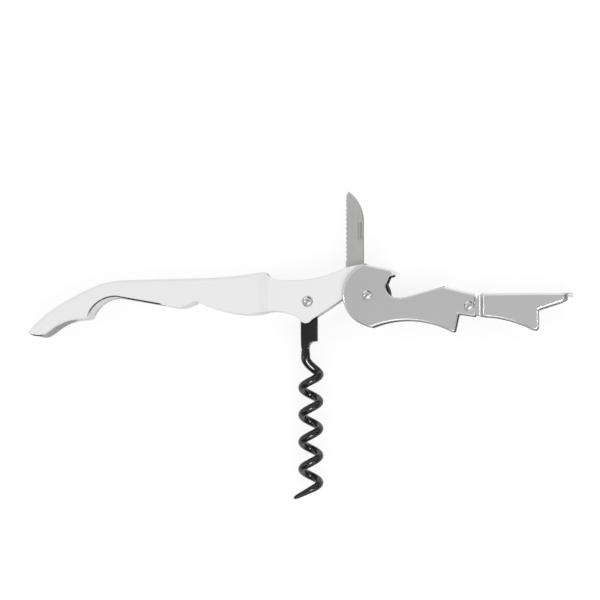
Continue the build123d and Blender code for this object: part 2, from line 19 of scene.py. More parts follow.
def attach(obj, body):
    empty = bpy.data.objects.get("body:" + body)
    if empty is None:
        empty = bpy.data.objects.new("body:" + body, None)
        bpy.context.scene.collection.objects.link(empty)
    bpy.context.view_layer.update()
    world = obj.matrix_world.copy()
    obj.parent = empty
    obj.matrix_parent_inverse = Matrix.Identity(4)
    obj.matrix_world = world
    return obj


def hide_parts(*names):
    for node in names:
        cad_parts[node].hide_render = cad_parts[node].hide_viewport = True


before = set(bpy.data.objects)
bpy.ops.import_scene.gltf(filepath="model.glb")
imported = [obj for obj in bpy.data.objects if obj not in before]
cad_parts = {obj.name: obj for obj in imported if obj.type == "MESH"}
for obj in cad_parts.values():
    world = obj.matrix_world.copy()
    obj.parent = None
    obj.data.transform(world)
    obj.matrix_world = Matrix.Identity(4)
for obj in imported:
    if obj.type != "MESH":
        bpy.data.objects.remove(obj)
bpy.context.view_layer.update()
MM = 0.001
MIDDLE = 6.4 * MM
print("nodes:", ", ".join(sorted(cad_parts)))

# %% [markdown]
# ## A short way to write nodes
# Materials and Geometry Nodes are both trees of nodes. Written out one call at a time they fill pages,
# so small helpers do the typing: one adds any node and feeds its inputs, two write arithmetic on numbers
# and on vectors, and one starts a group. An input takes a plain value or the socket of another node.

# %% Helpers for nodes
def add(tree, kind, inputs=None, **settings):
    """A node of that kind with its settings, and its inputs linked or filled by name or number."""
    made = tree.nodes.new(kind)
    for name, value in settings.items():
        setattr(made, name, value)
    for key, value in (inputs or {}).items():
        if isinstance(value, bpy.types.NodeSocket):
            tree.links.new(value, made.inputs[key])
        else:
            made.inputs[key].default_value = value
    return made


def number(tree, operation, *values):
    """The result of one step of arithmetic on numbers."""
    return add(tree, "ShaderNodeMath", dict(enumerate(values)), operation=operation).outputs[0]


def vector(tree, operation, *values):
    """The result of one step of arithmetic on vectors; SCALE takes its factor as the second value."""
    inputs = {0: values[0], 3: values[1]} if operation == "SCALE" else dict(enumerate(values))
    return add(tree, "ShaderNodeVectorMath", inputs, operation=operation).outputs[0]


def new_group(name, kind, inputs, outputs):
    """An empty node group with named sockets, and its two end nodes."""
    tree = bpy.data.node_groups.new(name, kind)
    for direction, sockets in (("INPUT", inputs), ("OUTPUT", outputs)):
        for label, socket_kind, *value in sockets:
            made = tree.interface.new_socket(label, in_out=direction, socket_type=socket_kind)
            if value:
                made.default_value = value[0]
    return tree, tree.nodes.new("NodeGroupInput"), tree.nodes.new("NodeGroupOutput")


print("node helpers ready")

# %% [markdown]
# ## Grain, shared by every finish
# Look closely at any made surface and it is never one even tone. Rolled and tumbled steel has a fine
# speckle, a ground blade has lines along it, and paint and coatings lie in soft waves.
# All of these are noise seen at the right size and stretched the right way, so one shader group serves
# them: it reads the piece's own coordinates, stretches them, and gives a fine grain, a broad cloud and
# a height for the relief. Grain and cloud go from -1 to 1.

# %% The grain group
CLOUD_IN_RELIEF = 0.25
grain, grain_in, grain_out = new_group(
    "surface_grain", "ShaderNodeTree",
    [("Stretch", "NodeSocketVector"), ("Fineness", "NodeSocketFloat", 900.0),
     ("Cloud Fineness", "NodeSocketFloat", 60.0)],
    [("Grain", "NodeSocketFloat"), ("Cloud", "NodeSocketFloat"), ("Height", "NodeSocketFloat")])
place = add(grain, "ShaderNodeTexCoord").outputs["Object"]
stretched = vector(grain, "MULTIPLY", place, grain_in.outputs["Stretch"])
fine = add(grain, "ShaderNodeTexNoise", {"Vector": stretched, "Scale": grain_in.outputs["Fineness"],
                                         "Detail": 3.0, "Roughness": 0.6}).outputs["Fac"]
broad = add(grain, "ShaderNodeTexNoise", {"Vector": place, "Scale": grain_in.outputs["Cloud Fineness"],
                                          "Detail": 2.0}).outputs["Fac"]
grain.links.new(number(grain, "MULTIPLY_ADD", fine, 2.0, -1.0), grain_out.inputs["Grain"])
grain.links.new(number(grain, "MULTIPLY_ADD", broad, 2.0, -1.0), grain_out.inputs["Cloud"])
grain.links.new(number(grain, "MULTIPLY_ADD", broad, CLOUD_IN_RELIEF, fine), grain_out.inputs["Height"])
print("grain group:", len(grain.nodes), "nodes")

# %% [markdown]
# ## Edges that have been handled
# Where a sheet ends, its edge has been tumbled and rubbed. Paint runs thin there and metal is polished.
# Each dressed piece will store three values on its faces: rim on its rounded edges, cut on its steep
# faces, such as where a sheet was sheared through, and inside on faces that look at the tool's middle. Cut
# and inside say where painted shade goes. This group reads all three. It breaks the rim up with a little
# noise, so that no edge wears in an even line.

# %% The edge group
wear_and_shade, wear_and_shade_in, wear_and_shade_out = new_group(
    "edge_wear_and_painted_shade", "ShaderNodeTree",
    [("Wear", "NodeSocketFloat", 0.5), ("Patchiness", "NodeSocketFloat", 0.5)],
    [("Edge", "NodeSocketFloat"), ("Cut", "NodeSocketFloat"), ("Inside", "NodeSocketFloat")])
rim, cut, inside = [add(wear_and_shade, "ShaderNodeAttribute", attribute_name=stored).outputs["Fac"]
                    for stored in ("rim", "cut", "inside")]
blotches = add(wear_and_shade, "ShaderNodeTexNoise", {"Vector": add(wear_and_shade, "ShaderNodeTexCoord").outputs["Object"],
                                            "Scale": 420.0, "Detail": 3.0}).outputs["Fac"]
uneven = number(wear_and_shade, "MULTIPLY_ADD", blotches, 2.0, -1.0)
patches = number(wear_and_shade, "MULTIPLY_ADD", uneven, wear_and_shade_in.outputs["Patchiness"], 1.0)
rubbed = number(wear_and_shade, "MULTIPLY", patches, rim)
wear_and_shade.links.new(number(wear_and_shade, "MULTIPLY", rubbed, wear_and_shade_in.outputs["Wear"]), wear_and_shade_out.inputs["Edge"])
wear_and_shade.links.new(cut, wear_and_shade_out.inputs["Cut"])
wear_and_shade.links.new(inside, wear_and_shade_out.inputs["Inside"])
print("edge group:", len(wear_and_shade.nodes), "nodes")

# %% [markdown]
# ## Where a finish is darker
# Painted shade darkens faces that lie in shade. The stored values say which faces that concerns, and on
# the handle also along which stretch of the tool. A stretch fades in and out at its ends.
# A belly, given by the height of a line at the stretch's start and its slope, keeps it to what lies below
# or just above that line. Such a mask reads only the piece's own coordinates, so it moves with the piece.

# %% Masks for darker places
STRETCH_FADE = 1.5
BAND_ABOVE_BELLY = (1.4, 0.8)


def passing(tree, value, start, end):
    """0 to 1 while a value goes from the start to the end, which are in millimetres."""
    ends = {"Value": value, "From Min": start * MM, "From Max": end * MM}
    return add(tree, "ShaderNodeMapRange", ends).outputs[0]


def along_stretch(tree, start, end, belly=None):
    """1 on a stretch along the tool, and only below the belly's line where one is given."""
    object_place = add(tree, "ShaderNodeTexCoord").outputs["Object"]
    spot = add(tree, "ShaderNodeSeparateXYZ", {0: object_place}).outputs
    entered = passing(tree, spot["X"], start, start + STRETCH_FADE)
    mask = number(tree, "MULTIPLY", entered, passing(tree, spot["X"], end, end - STRETCH_FADE))
    if belly:
        level, slope = belly
        line = number(tree, "MULTIPLY_ADD", spot["X"], slope, (level - slope * start) * MM)
        above = number(tree, "SUBTRACT", spot["Y"], line)
        mask = number(tree, "MULTIPLY", mask, passing(tree, above, *BAND_ABOVE_BELLY))
    return mask


def darkening(tree, edges, marks):
    """How much darker the marked faces are; a mark is a name, a share and a stretch, if it has one."""
    total = 0.0
    for mark, share, *stretch in marks:
        amount = number(tree, "MULTIPLY", edges[mark], share)
        if stretch:
            amount = number(tree, "MULTIPLY", amount, along_stretch(tree, *stretch))
        total = number(tree, "ADD", total, amount)
    return total


print("masks ready")

# %% [markdown]
# ## One recipe for the finishes
# Each finish is a Principled shader in its own material. What varies over the surface comes from the two
# groups: the tone lightens or darkens with the grain and the cloud, the gloss changes a little with them,
# and a Bump node turns the height into fine relief. What is the same all over is set on the shader itself.

# %% The recipe
COAT_ROUGHNESS = 0.12
GRAIN_IN_GLOSS = 0.08
DARKEST = 0.03


def finish(name, tone, edge_tone, metallic, gloss, fineness, cloud_fineness, speckle, drift, wear, relief,
           relief_depth, stretch=(1, 1, 1), coat=0.0, polish=0.0, darker=()):
    """A material whose tone, gloss and relief follow the grain, and whose edges take their own tone."""
    made = bpy.data.materials.new(name)
    made.use_nodes = True
    tree = made.node_tree
    shader = tree.nodes["Principled BSDF"].inputs
    shader["Metallic"].default_value = metallic
    shader["Coat Weight"].default_value = coat
    shader["Coat Roughness"].default_value = COAT_ROUGHNESS
    grained = add(tree, "ShaderNodeGroup", {"Stretch": stretch, "Fineness": fineness,
                                            "Cloud Fineness": cloud_fineness}, node_tree=grain).outputs
    edges = add(tree, "ShaderNodeGroup", {"Wear": wear}, node_tree=wear_and_shade).outputs
    flecks = number(tree, "MULTIPLY_ADD", grained["Grain"], speckle, 1.0)
    shade = number(tree, "MULTIPLY_ADD", grained["Cloud"], drift, flecks)
    # Painted shade: the darker marks take a share off the tone where they lie.
    if darker:
        left = number(tree, "SUBTRACT", 1.0, darkening(tree, edges, darker))
        shade = number(tree, "MULTIPLY", shade, number(tree, "MAXIMUM", left, DARKEST))
    mixed = add(tree, "ShaderNodeMix", {0: edges["Edge"], 6: vector(tree, "SCALE", tone, shade),
                                        7: vector(tree, "SCALE", edge_tone, shade)}, data_type="RGBA")
    tree.links.new(mixed.outputs[2], shader["Base Color"])
    sheen = number(tree, "MULTIPLY_ADD", grained["Grain"], GRAIN_IN_GLOSS, gloss)
    tree.links.new(number(tree, "MULTIPLY_ADD", edges["Edge"], -polish, sheen), shader["Roughness"])
    bump = add(tree, "ShaderNodeBump", {"Height": grained["Height"], "Strength": relief,
                                        "Distance": relief_depth * MM})
    tree.links.new(bump.outputs["Normal"], shader["Normal"])
    return made


print("finish recipe ready")

# %% [markdown]
# ## The white paint
# The handle has a smooth white powder paint. A thin dark line of shade runs along the grip's belly,
# through the finger arc and at the tail, where the inside of the channel shows. That line is painted shade:
# on these stretches the inside of the sheet, its cut face and its rounded edge each get their share.
# Places along the tool are in millimetres.

# %% Mix the white paint
TAIL_INSIDE, TAIL_CUT, TAIL_TIP = (-100, -80), (-100, -84), (-96, -90)
BELLY_INSIDE = (-63.5, -48.5, (16.6, -0.167))
BELLY_CUT, BELLY_EDGE = (-74, -48.5), (-75, -47.5)
# Painted shade: these marks darken the white along the belly, the finger arc and the tail.
PAINTED_SHADE_MARKS = [("Inside", 0.5, *TAIL_INSIDE), ("Inside", 0.97, *BELLY_INSIDE), ("Cut", 0.95, *BELLY_CUT),
        ("Cut", 0.5, *TAIL_CUT), ("Edge", 2.8, *BELLY_EDGE), ("Edge", 2.8, *TAIL_TIP)]
white_paint = finish("painted_white", (0.92, 0.92, 0.925), (0.86, 0.86, 0.865), metallic=0.0, gloss=0.34,
                     fineness=700.0, cloud_fineness=45.0, speckle=0.006, drift=0.012, wear=0.35,
                     relief=0.06, relief_depth=0.03, coat=0.1, darker=PAINTED_SHADE_MARKS)
print(white_paint.name, "with", len(PAINTED_SHADE_MARKS), "stretches of painted shade")

# %% [markdown]
# ## Steel, coating and plastic
# The levers are tumbled steel with a fine frosted speckle, while the knife is ground along its length.
# The worm has a glossy black non-stick coating, the liners are matt black plastic, and the rivets are
# turned steel. A steel's tone is how much light it throws back. Painted shade darkens the steep faces of
# the levers and the knife, where sheared steel is also a little duller, and the levers' inner sides, which
# see only each other. Here gloss is the shader's Roughness, so a smaller number shines more.

# %% Mix the other finishes
# The Cut and Inside marks below are painted shade; on sheared edges partly their own duller steel.
lever_steel = finish("tumbled_steel", (0.845, 0.848, 0.848), (0.86, 0.863, 0.863), metallic=1.0, gloss=0.23,
                     fineness=2600.0, cloud_fineness=70.0, speckle=0.05, drift=0.03, wear=0.7, relief=0.16,
                     relief_depth=0.012, polish=0.08, darker=[("Cut", 0.55), ("Inside", 0.58)])
blade_steel = finish("ground_steel", (0.655, 0.655, 0.64), (0.70, 0.70, 0.69), metallic=1.0, gloss=0.38,
                     fineness=3200.0, cloud_fineness=90.0, speckle=0.07, drift=0.04, wear=0.5, relief=0.14,
                     relief_depth=0.01, stretch=(1, 0.12, 1), darker=[("Cut", 0.6)])
pin_steel = finish("turned_steel", (0.60, 0.60, 0.60), (0.64, 0.64, 0.64), metallic=1.0, gloss=0.24,
                   fineness=2400.0, cloud_fineness=200.0, speckle=0.05, drift=0.05, wear=0.4, relief=0.1,
                   relief_depth=0.01)
black_coating = finish("glossy_coating", (0.004, 0.0041, 0.0043), (0.008, 0.008, 0.0085), metallic=0.0,
                       gloss=0.12, fineness=900.0, cloud_fineness=180.0, speckle=0.12, drift=0.15, wear=0.5,
                       relief=0.1, relief_depth=0.02)
black_plastic = finish("matt_plastic", (0.012, 0.012, 0.0125), (0.02, 0.02, 0.02), metallic=0.0, gloss=0.5,
                       fineness=1500.0, cloud_fineness=120.0, speckle=0.1, drift=0.1, wear=0.5, relief=0.2,
                       relief_depth=0.02)
FINISHES = {"white_paint": white_paint, "lever_steel": lever_steel, "blade_steel": blade_steel,
            "pin_steel": pin_steel, "black_coating": black_coating, "black_plastic": black_plastic}
print("finishes:", ", ".join(FINISHES))

# %% [markdown]
# ## From a solid to a dressed piece
# A loaded solid is a bag of loose triangles with razor edges. No real sheet has those: shearing, tumbling
# and paint leave every edge rounded. So a copy is welded, its flat triangles are joined into whole faces,
# and a Bevel modifier rounds every edge that turns sharply. The solid itself stays as it is.
# The first helpers put an object in the scene, turn one into a plain mesh, and say what a finished piece
# stands for.

# %% Helpers for a finished piece
def put_in_scene(made):
    """A new object shows only once a collection of the scene holds it."""
    bpy.context.scene.collection.objects.link(made)


def plain_mesh(holder, name):
    """The evaluated form of an object as a new object at the origin; the holder is removed."""
    scene_graph = bpy.context.evaluated_depsgraph_get()
    mesh = bpy.data.meshes.new_from_object(holder.evaluated_get(scene_graph))
    bpy.data.objects.remove(holder)
    mesh.name = name
    piece = bpy.data.objects.new(name, mesh)
    put_in_scene(piece)
    return piece


def settle(piece, body, slot, *nodes):
    """The finished piece rides on its body and stands for its solids."""
    piece.data.materials.clear()
    piece.data.materials.append(FINISHES[slot])
    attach(piece, body)
    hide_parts(*nodes)


print("piece helpers ready")

# %% [markdown]
# ## Weld a copy
# Welding merges corners that lie on each other, takes out slivers, and joins triangles that lie in one
# plane. Two kinds of face are then split again. The end of a folded sheet is a U-shaped face, which a bevel
# fills wrongly, so it is divided where it turns back on itself. And the floor of the knife's nail nick is
# divided along a line, so that painted shade can darken its deep side. Pieces that the script makes anew
# are merged too, and their faces are turned outwards.

# %% Helpers for welding
WELD_GAP = 0.002
SLIVER = 0.05
FLAT_TURN = math.radians(0.4)
LEVEL_FACE = 0.5
RIM_CORNERS = 6
FLOOR_NEAR = 0.05


def welded(mesh):
    """The mesh as one closed shape with whole flat faces, and a tree of its skin to look up near places."""
    shape = bmesh.new()
    shape.from_mesh(mesh)
    bmesh.ops.remove_doubles(shape, verts=shape.verts, dist=WELD_GAP * MM)
    skin = BVHTree.FromBMesh(shape)
    bmesh.ops.dissolve_degenerate(shape, dist=SLIVER * MM, edges=shape.edges)
    bmesh.ops.dissolve_limit(shape, angle_limit=FLAT_TURN, verts=shape.verts, edges=shape.edges)
    return shape, skin


def split_nick(shape, floor, deep_side):
    """Divides the floor of a nail nick, given by its height, along a line given by its place across."""
    faces = [face for face in shape.faces if face.normal.z > LEVEL_FACE
             and abs(face.calc_center_median().z - floor * MM) < FLOOR_NEAR * MM]
    around = dict.fromkeys(part for face in faces for part in (*face.edges, *face.verts))
    cut_at = (deep_side * MM, 0, 0)
    bmesh.ops.bisect_plane(shape, geom=[*faces, *around], plane_co=cut_at, plane_no=(1, 0, 0))


def split_rims(shape):
    """Divides upright faces with many corners where they turn back on themselves."""
    upright = [face for face in shape.faces if abs(face.normal.z) < LEVEL_FACE]
    bent = [face for face in upright if len(face.verts) > RIM_CORNERS]
    bmesh.ops.connect_verts_concave(shape, faces=bent)


def outward(mesh):
    """Merges the corners of a new mesh that lie on each other, and turns its faces outwards."""
    shape = bmesh.new()
    shape.from_mesh(mesh)
    bmesh.ops.remove_doubles(shape, verts=shape.verts, dist=WELD_GAP * MM)
    bmesh.ops.recalc_face_normals(shape, faces=shape.faces)
    shape.to_mesh(mesh)
    shape.free()


print("welding helpers ready")

# %% [markdown]
# ## Round the edges
# A bevel of one width would run into itself where short edges meet. The Bevel modifier can take a weight
# from each edge, a share of its width, so that crowded spots are rounded less, and the inner edge of a
# sheet less than the outer one. A spot is a place, how far it reaches, and the share. The bevel paints its
# new faces with a second material number, which tells later where they are. A corner that the bevel still
# throws far off the solid's skin is pulled back to it.

# %% Helpers for rounding
SHARP_TURN = math.radians(35)
BEVEL_STEPS = 3
STRAY_SHARE = 0.45


def facing_middle(normal, height):
    """How far a direction at that height points to the tool's middle plane, from -1 to 1."""
    return normal.z if height < MIDDLE else -normal.z


def weigh_edges(shape, spots, inner_share):
    """Sharp edges get the share of the radius that they are rounded by."""
    weight = shape.edges.layers.float.new("bevel_weight_edge")
    for line in shape.edges:
        if line.is_manifold and line.calc_face_angle() > SHARP_TURN:
            centre = (line.verts[0].co + line.verts[1].co) / (2 * MM)
            shares = [share for x, y, reach, share in spots if math.dist(centre.xy, (x, y)) < reach]
            inward = max(facing_middle(face.normal, centre.z * MM) for face in line.link_faces)
            line[weight] = min(shares, default=1.0) * (inner_share if inward > LEVEL_FACE else 1.0)


def rounded(mesh, name, slot, radius):
    """A new piece whose weighted edges are rounded; the faces of the rounding have material number 1."""
    mesh.shade_smooth()
    mesh.materials.clear()
    mesh.materials.append(FINISHES[slot])
    mesh.materials.append(FINISHES[slot])
    mesh.polygons.foreach_set("material_index", [0] * len(mesh.polygons))
    holder = bpy.data.objects.new(name + "_copy", mesh)
    put_in_scene(holder)
    bevel = holder.modifiers.new("rounded edges", "BEVEL")
    bevel.limit_method = "WEIGHT"
    bevel.width = radius * MM
    bevel.segments = BEVEL_STEPS
    bevel.use_clamp_overlap = False
    bevel.material = 1
    return plain_mesh(holder, name + "_dressed")


def pull_back(mesh, skin, radius):
    """Corners that lie too far off the solid's skin go back to the nearest place on it."""
    for corner in mesh.vertices:
        nearest, *_, distance = skin.find_nearest(corner.co)
        if distance > STRAY_SHARE * radius * MM:
            corner.co = nearest


print("rounding helpers ready")

# %% [markdown]
# ## Mark the faces
# The finishes read three values from each face. Rim comes from the bevel's material number. Cut grows with
# how steep a face stands, on sheets only along their rounded edges, and on the knife everywhere, with the
# two halves of its nick given their own values. Inside grows as a face turns to the tool's middle.

# %% Helpers for marking
# Cut and inside mark where the finishes paint shade.
CUT_STEEPNESS = (0.85, 0.55)
INSIDE_TURN = (0.1, 0.5)
NICK_DEEP_SHADE, NICK_FLAT_SHADE = 0.85, 0.1


def rising(value, start, end):
    """0 before the start, 1 after the end, and a straight way between them."""
    return min(max((value - start) / (end - start), 0.0), 1.0)


def mark_rim(mesh):
    """Faces that a bevel numbered 1 get the value rim."""
    marks = mesh.attributes.new("rim", "FLOAT", "FACE")
    for index, face in enumerate(mesh.polygons):
        marks.data[index].value = float(face.material_index)
        face.material_index = 0


def mark_sides(mesh, nick):
    """Each face gets the values cut and inside; a nick is the height of its floor and where it is deep."""
    for stored in ("cut", "inside"):
        mesh.attributes.new(stored, "FLOAT", "FACE")
    cuts, insides, rims = [mesh.attributes[stored].data for stored in ("cut", "inside", "rim")]
    for index, face in enumerate(mesh.polygons):
        steep = rising(abs(face.normal.z), *CUT_STEEPNESS)
        cuts[index].value = steep if nick else steep * rims[index].value
        insides[index].value = rising(facing_middle(face.normal, face.center.z), *INSIDE_TURN)
        # The nick's floor takes painted shade, strong on its deep side and faint on the other.
        if nick and face.normal.z > LEVEL_FACE and abs(face.center.z - nick[0] * MM) < 2 * FLOOR_NEAR * MM:
            cuts[index].value = NICK_DEEP_SHADE if face.center.x > nick[1] * MM else NICK_FLAT_SHADE


print("marking helpers ready")

# %% [markdown]
# ## Shade the broad faces flat
# Smooth shading blends the directions of all faces at a corner. A rounded edge would then bend the light on
# the broad faces beside it, and a flat sheet would look like a cushion. Custom normals stop that: each
# corner takes the direction of the broad faces that meet there, weighed by their area.

# %% The helper for even shading
SAME_SIDE = 0.6


def even_normals(mesh):
    """Flat faces are shaded flat: a rounded edge takes over the directions of the faces that it joins."""
    shape = bmesh.new()
    shape.from_mesh(mesh)
    rim_value = shape.faces.layers.float["rim"]
    normals = []
    for face in shape.faces:
        for corner in face.verts:
            near = [other for other in corner.link_faces if other.normal.dot(face.normal) > SAME_SIDE]
            flat = [other for other in near if other[rim_value] < 0.5]
            directions = [other.normal * other.calc_area() for other in flat or near]
            normals.append(sum(directions, Vector()).normalized())
    shape.free()
    mesh.normals_split_custom_set(normals)


print("shading helper ready")

# %% [markdown]
# ## All steps in a row
# Dressing a solid is now a list of steps: weld, divide, weigh, round, mark, pull back and shade. At the end
# the piece is put on its body, hides the solid that it stands for, and takes its slot's finish.

# %% The dressing helper
def dress(node, body, slot, radius, spots=(), inner_share=1.0, nick=None):
    """A welded copy of a solid with its sharp edges rounded to that radius, or a share of it at spots."""
    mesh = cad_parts[node].data.copy()
    shape, skin = welded(mesh)
    if nick:
        split_nick(shape, *nick)
    split_rims(shape)
    weigh_edges(shape, spots, inner_share)
    shape.to_mesh(mesh)
    shape.free()
    piece = rounded(mesh, node, slot, radius)
    mark_rim(piece.data)
    pull_back(piece.data, skin, radius)
    even_normals(piece.data)
    mark_sides(piece.data, nick)
    settle(piece, body, slot, node)
    print(piece.name, len(piece.data.polygons), "faces")


print("dressing helper ready")

# %% [markdown]
# ## The folded handle and the levers
# Handle and levers are folded from sheet: 1 mm painted sheet for the handle, 1.2 mm steel for the levers.
# Their shapes are the solids' own, so they are dressed and not redrawn. Half the sheet's thickness is the
# most that both edges of its rim can be rounded by. The crowded spots are both ends of the rise in the
# handle's back and its tail, the first lever's lip and the ends of its web, and the second lever's tongue
# and nose.

# %% Dress the folded sheets
HANDLE_SPOTS = [(-30.7, 23.4, 2.5, 0.0), (-11.8, 24.6, 4.5, 0.0), (-95.3, 4.3, 1.3, 0.5)]
FIRST_SPOTS = [(35.3, 25.2, 4.5, 0.0), (62.1, 16.9, 1.5, 0.25), (24.1, 28.2, 1.5, 0.25)]
SECOND_SPOTS = [(62.8, 10.1, 1.2, 0.0), (64.4, 13.5, 4.6, 0.35), (60.2, 13.2, 3.3, 0.35),
                (95.6, 16.6, 1.8, 0.4)]
INNER_SHARE = 0.3
HANDLE_EDGE, LEVER_EDGE = 0.45, 0.6
dress("handle_shell", "handle", "white_paint", HANDLE_EDGE, HANDLE_SPOTS, INNER_SHARE)
dress("first_lever", "first_lever", "lever_steel", LEVER_EDGE, FIRST_SPOTS, INNER_SHARE)
dress("second_lever", "second_lever", "lever_steel", LEVER_EDGE, SECOND_SPOTS, INNER_SHARE)

# %% [markdown]
# ## The knife, liners and small parts
# The foil knife is thin ground steel, so its edges are only just broken, and its toothed edge stays sharp.
# Its nail nick has painted shade on its deep side, where a thumbnail goes in. The liners are moulded plates
# inside the neck; one shows as a black crescent in the mouth of the cap lifter. Washers and the sleeve are
# turned.

# %% Dress the small parts
NICK_FLOOR, NICK_DEEP_SIDE = 6.6, 21.9
TOOTHED_EDGE = [(16.5, 20 + step, 1.3, 0.0) for step in range(36)]
BLADE_EDGE, LINER_EDGE, SMALL_EDGE, SLEEVE_EDGE = 0.09, 0.15, 0.06, 0.08
dress("knife_blade", "knife", "blade_steel", BLADE_EDGE, TOOTHED_EDGE, nick=(NICK_FLOOR, NICK_DEEP_SIDE))
dress("front_liner", "handle", "black_plastic", LINER_EDGE)
dress("back_liner", "handle", "black_plastic", LINER_EDGE)
for small in ("knife_pin", "front_knife_washer", "back_knife_washer"):
    dress(small, "handle", "pin_steel", SMALL_EDGE)
dress("hinge_sleeve", "first_lever", "pin_steel", SLEEVE_EDGE)

# %% [markdown]
# ## The worm's shank
# The top of the worm's wire is pressed flat and pierced for its rivet. A flat shape with a hole is what a
# filled 2D curve gives: the outline and the hole are two closed splines, Extrude gives half the thickness,
# and Bevel rounds the edges. The bevel grows outwards, so Offset pulls the outline in by as much.
# The outline runs round the head, down the left side to the wire, and back through a round throat and heel.

# %% Draw the shank
PIN_AT = {"worm": (3.55, 15.21), "lever": (24.65, 17.11), "hinge": (60.15, 13.21)}
WIRE_RADIUS = 1.45
WIRE_X = 2.40
WIRE_TOP = -1.39
HEAD_SHIFT, HEAD_RADIUS = 0.2, 3.0
SIDE_END = 1.25
THROAT_RISE, THROAT_RADIUS = 0.5, 2.1
HEEL_RADIUS = 0.4
EYE_RADIUS = 1.3


def round_run(centre, radius, start, end, steps):
    """Points along an arc, between two angles in degrees."""
    angles = [math.radians(start + (end - start) * i / steps) for i in range(steps + 1)]
    return [(centre[0] + radius * math.cos(a), centre[1] + radius * math.sin(a)) for a in angles]


eye = PIN_AT["worm"]
head = (eye[0] + HEAD_SHIFT, eye[1] - HEAD_SHIFT)
throat = (WIRE_X + WIRE_RADIUS + THROAT_RADIUS, WIRE_TOP + THROAT_RISE)
heel = (head[0] + HEAD_RADIUS - HEEL_RADIUS, throat[1] + THROAT_RADIUS + HEEL_RADIUS)
shank_outline = round_run(head, HEAD_RADIUS, 0, 180, 28)
shank_outline += [(head[0] - HEAD_RADIUS, SIDE_END)]
shank_outline += [(WIRE_X - WIRE_RADIUS, WIRE_TOP), (WIRE_X + WIRE_RADIUS, WIRE_TOP)]
shank_outline += round_run(throat, THROAT_RADIUS, 180, 90, 12) + round_run(heel, HEEL_RADIUS, -90, 0, 6)
eye_outline = round_run(eye, EYE_RADIUS, 360, 0, 32)[:-1]
print("shank outline:", len(shank_outline), "points")

# %% Press the shank
SHANK_THICKNESS, SHANK_EDGE = 2.2, 0.3


def flat_plate(name, outlines, thickness, edge):
    """A plate cut along closed outlines, with rounded edges, as a plain welded mesh object."""
    curve = bpy.data.curves.new(name, "CURVE")
    curve.dimensions = "2D"
    curve.fill_mode = "BOTH"
    curve.extrude = (thickness / 2 - edge) * MM
    curve.bevel_depth = edge * MM
    curve.bevel_resolution = 2
    curve.offset = -edge * MM
    for outline in outlines:
        spline = curve.splines.new("POLY")
        spline.points.add(len(outline) - 1)
        for point, (x, y) in zip(spline.points, outline):
            point.co = (x * MM, y * MM, 0, 1)
        spline.use_cyclic_u = True
    holder = bpy.data.objects.new(name + "_curve", curve)
    put_in_scene(holder)
    piece = plain_mesh(holder, name)
    piece.data.transform(Matrix.Translation((0, 0, MIDDLE)))
    outward(piece.data)
    piece.data.materials.clear()
    return piece


worm_piece = flat_plate("worm_wound", [shank_outline, eye_outline], SHANK_THICKNESS, SHANK_EDGE)
print("shank:", len(worm_piece.data.polygons), "faces")

# %% [markdown]
# ## The worm, wound by a rule
# Below the shank the wire runs straight, bends out, and winds to the right around an empty core, which is
# what pulls a cork without tearing it; the last stretch is a straight tapered point. A wire that follows a
# rule is a task for Geometry Nodes. A straight line is cut into many points, each point counts turns along
# the wire, and arithmetic on that count says where the point goes. From -2 to -1 the wire is the straight
# lead-in, from -1 to 0 the bend, then the winding, and one count past the last turn is the tip. A circle
# swept along the moved line makes the wire, and the shank joins it, so the whole worm is one mesh.

# %% Sizes of the worm and its tree
POINTS_A_TURN = 72.0
COUNTS_BEFORE, COUNTS_AFTER = 2.0, 1.0
wire, worm_in, worm_out = new_group(
    "wound_wire", "GeometryNodeTree",
    [("Shank", "NodeSocketGeometry"), ("Place", "NodeSocketVector"), ("Finish", "NodeSocketMaterial"),
     *[(label, "NodeSocketFloat") for label in (
         "Winding Radius", "Pitch", "Turns", "Wire Radius", "Tip Radius", "Point Length", "Lead Length",
         "Lead Offset", "Bend Drop")]],
    [("Worm", "NodeSocketGeometry")])
size = worm_in.outputs
line = add(wire, "GeometryNodeCurvePrimitiveLine")
counts = number(wire, "ADD", size["Turns"], COUNTS_BEFORE + COUNTS_AFTER)
resampled = add(wire, "GeometryNodeResampleCurve",
                {"Curve": line.outputs[0], "Count": number(wire, "MULTIPLY", counts, POINTS_A_TURN)})
along = add(wire, "GeometryNodeSplineParameter").outputs["Factor"]
turn = number(wire, "MULTIPLY_ADD", along, counts, -COUNTS_BEFORE)
wound = number(wire, "MINIMUM", number(wire, "MAXIMUM", turn, 0.0), size["Turns"])
print("worm tree started:", len(wire.nodes), "nodes")

# %% The winding and its point
def heading(angle):
    """The direction of the wire at an angle of the winding."""
    side = number(wire, "MULTIPLY", number(wire, "SINE", angle), size["Winding Radius"])
    inward = number(wire, "MULTIPLY", side, -1.0)
    rise = number(wire, "MULTIPLY", number(wire, "COSINE", angle), size["Winding Radius"])
    fall = number(wire, "DIVIDE", size["Pitch"], -2 * math.pi)
    raw = add(wire, "ShaderNodeCombineXYZ", {0: inward, 1: fall, 2: rise})
    return vector(wire, "NORMALIZE", raw.outputs[0])


def on_winding(count):
    """The place on the winding after that many turns."""
    angle = number(wire, "MULTIPLY", count, 2 * math.pi)
    side = number(wire, "MULTIPLY", number(wire, "COSINE", angle), size["Winding Radius"])
    rise = number(wire, "MULTIPLY", number(wire, "SINE", angle), size["Winding Radius"])
    fall = number(wire, "MULTIPLY", number(wire, "MULTIPLY", count, size["Pitch"]), -1.0)
    return add(wire, "ShaderNodeCombineXYZ", {0: side, 1: fall, 2: rise}).outputs[0]


